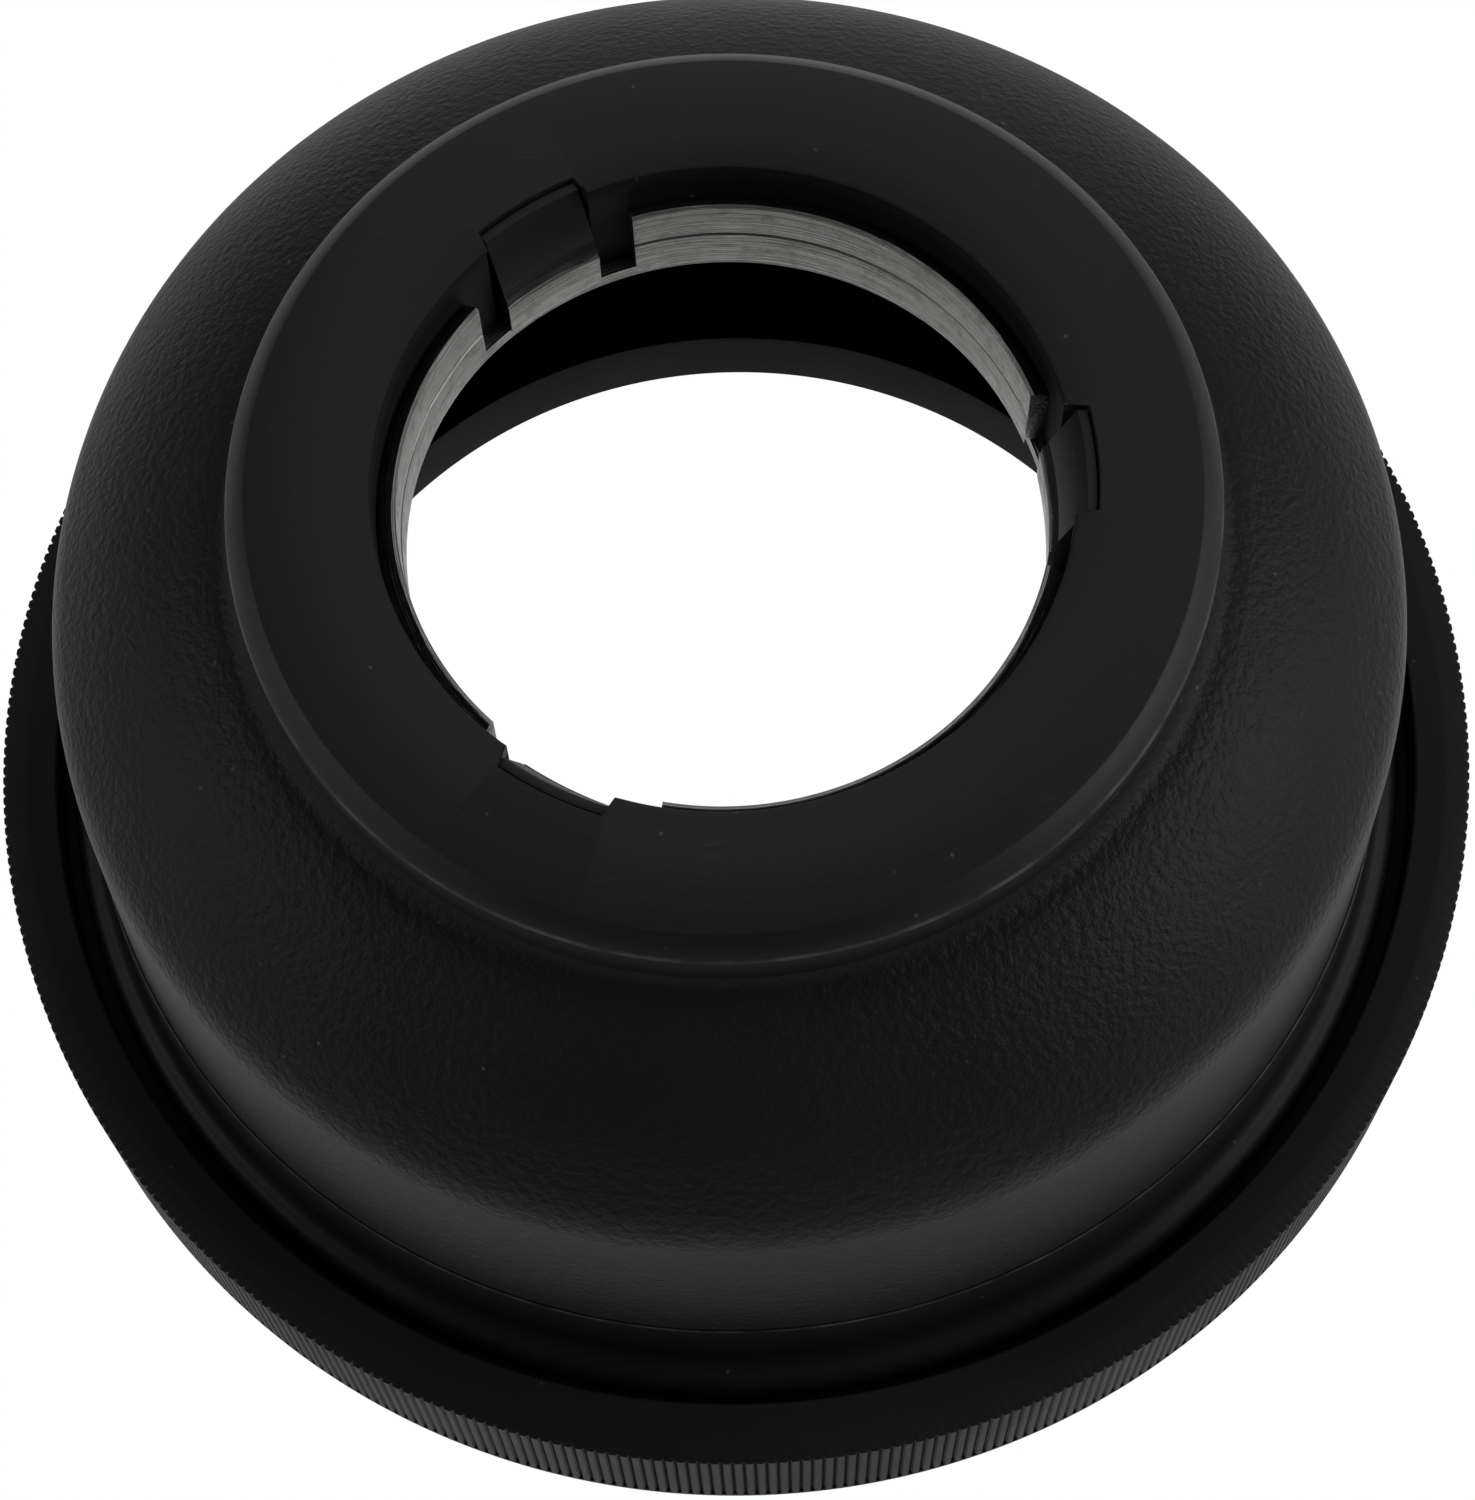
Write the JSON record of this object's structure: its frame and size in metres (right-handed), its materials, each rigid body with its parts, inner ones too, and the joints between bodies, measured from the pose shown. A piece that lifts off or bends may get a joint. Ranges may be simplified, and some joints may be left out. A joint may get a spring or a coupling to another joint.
{
  "type": "lens hood",
  "caption": "Round clip-on lens hood: mount collar with sprung grip sleeve, domed shell, beaded skirt and knurled front ring that screws off.",
  "frame": {"origin": "centre of the front rim's bottom plane, which the hood stands on", "axes": "+Z along the optical axis from the front rim to the lens mount; one spring finger lies near +X"},
  "size_m": [0.1022, 0.1022, 0.0538],
  "materials": {
    "collar": "matte",
    "shell": "fine textured matte",
    "skirt": "satin",
    "sleeve": "turned",
    "finger": "satin",
    "clamp": "matte",
    "ring": "satin"
  },
  "bodies": {
    "hood": {"mount_collar": "collar", "hood_shell": "shell", "thread_skirt": "skirt", "mount_sleeve": "sleeve"},
    "finger_1": {"spring_finger_1": "finger"},
    "finger_2": {"spring_finger_2": "finger"},
    "finger_3": {"spring_finger_3": "finger"},
    "clamp": {"clamp_ring": "clamp"},
    "ring": {"knurled_ring": "ring"}
  },
  "joints": [
    {"name": "finger_1_bend", "type": "hinge", "parent": "hood", "child": "finger_1", "pos_m": [0.02205, 0.00031, 0.05235], "axis": [0.014, -0.9999, 0], "range_deg": [0, 2.5], "stiffness_Nm_per_rad": 0.05},
    {"name": "finger_2_bend", "type": "hinge", "parent": "hood", "child": "finger_2", "pos_m": [-0.01129, 0.01894, 0.05235], "axis": [0.859, 0.512, 0], "range_deg": [0, 2.5], "stiffness_Nm_per_rad": 0.05},
    {"name": "finger_3_bend", "type": "hinge", "parent": "hood", "child": "finger_3", "pos_m": [-0.01076, -0.01925, 0.05235], "axis": [-0.8729, 0.4879, 0], "range_deg": [0, 2.5], "stiffness_Nm_per_rad": 0.05},
    {"name": "ring_travel", "type": "slide", "parent": "hood", "child": "clamp", "axis": [0, 0, 1], "range_m": [-0.003, 0]},
    {"name": "ring_turn", "type": "hinge", "parent": "clamp", "child": "ring", "pos_m": [0, 0, 0], "axis": [0, 0, 1], "range_deg": [-1440, 0]}
  ],
  "couplings": [
    {"joint": "ring_travel", "follows": "ring_turn", "m_per_rad": 0.00011937}
  ]
}
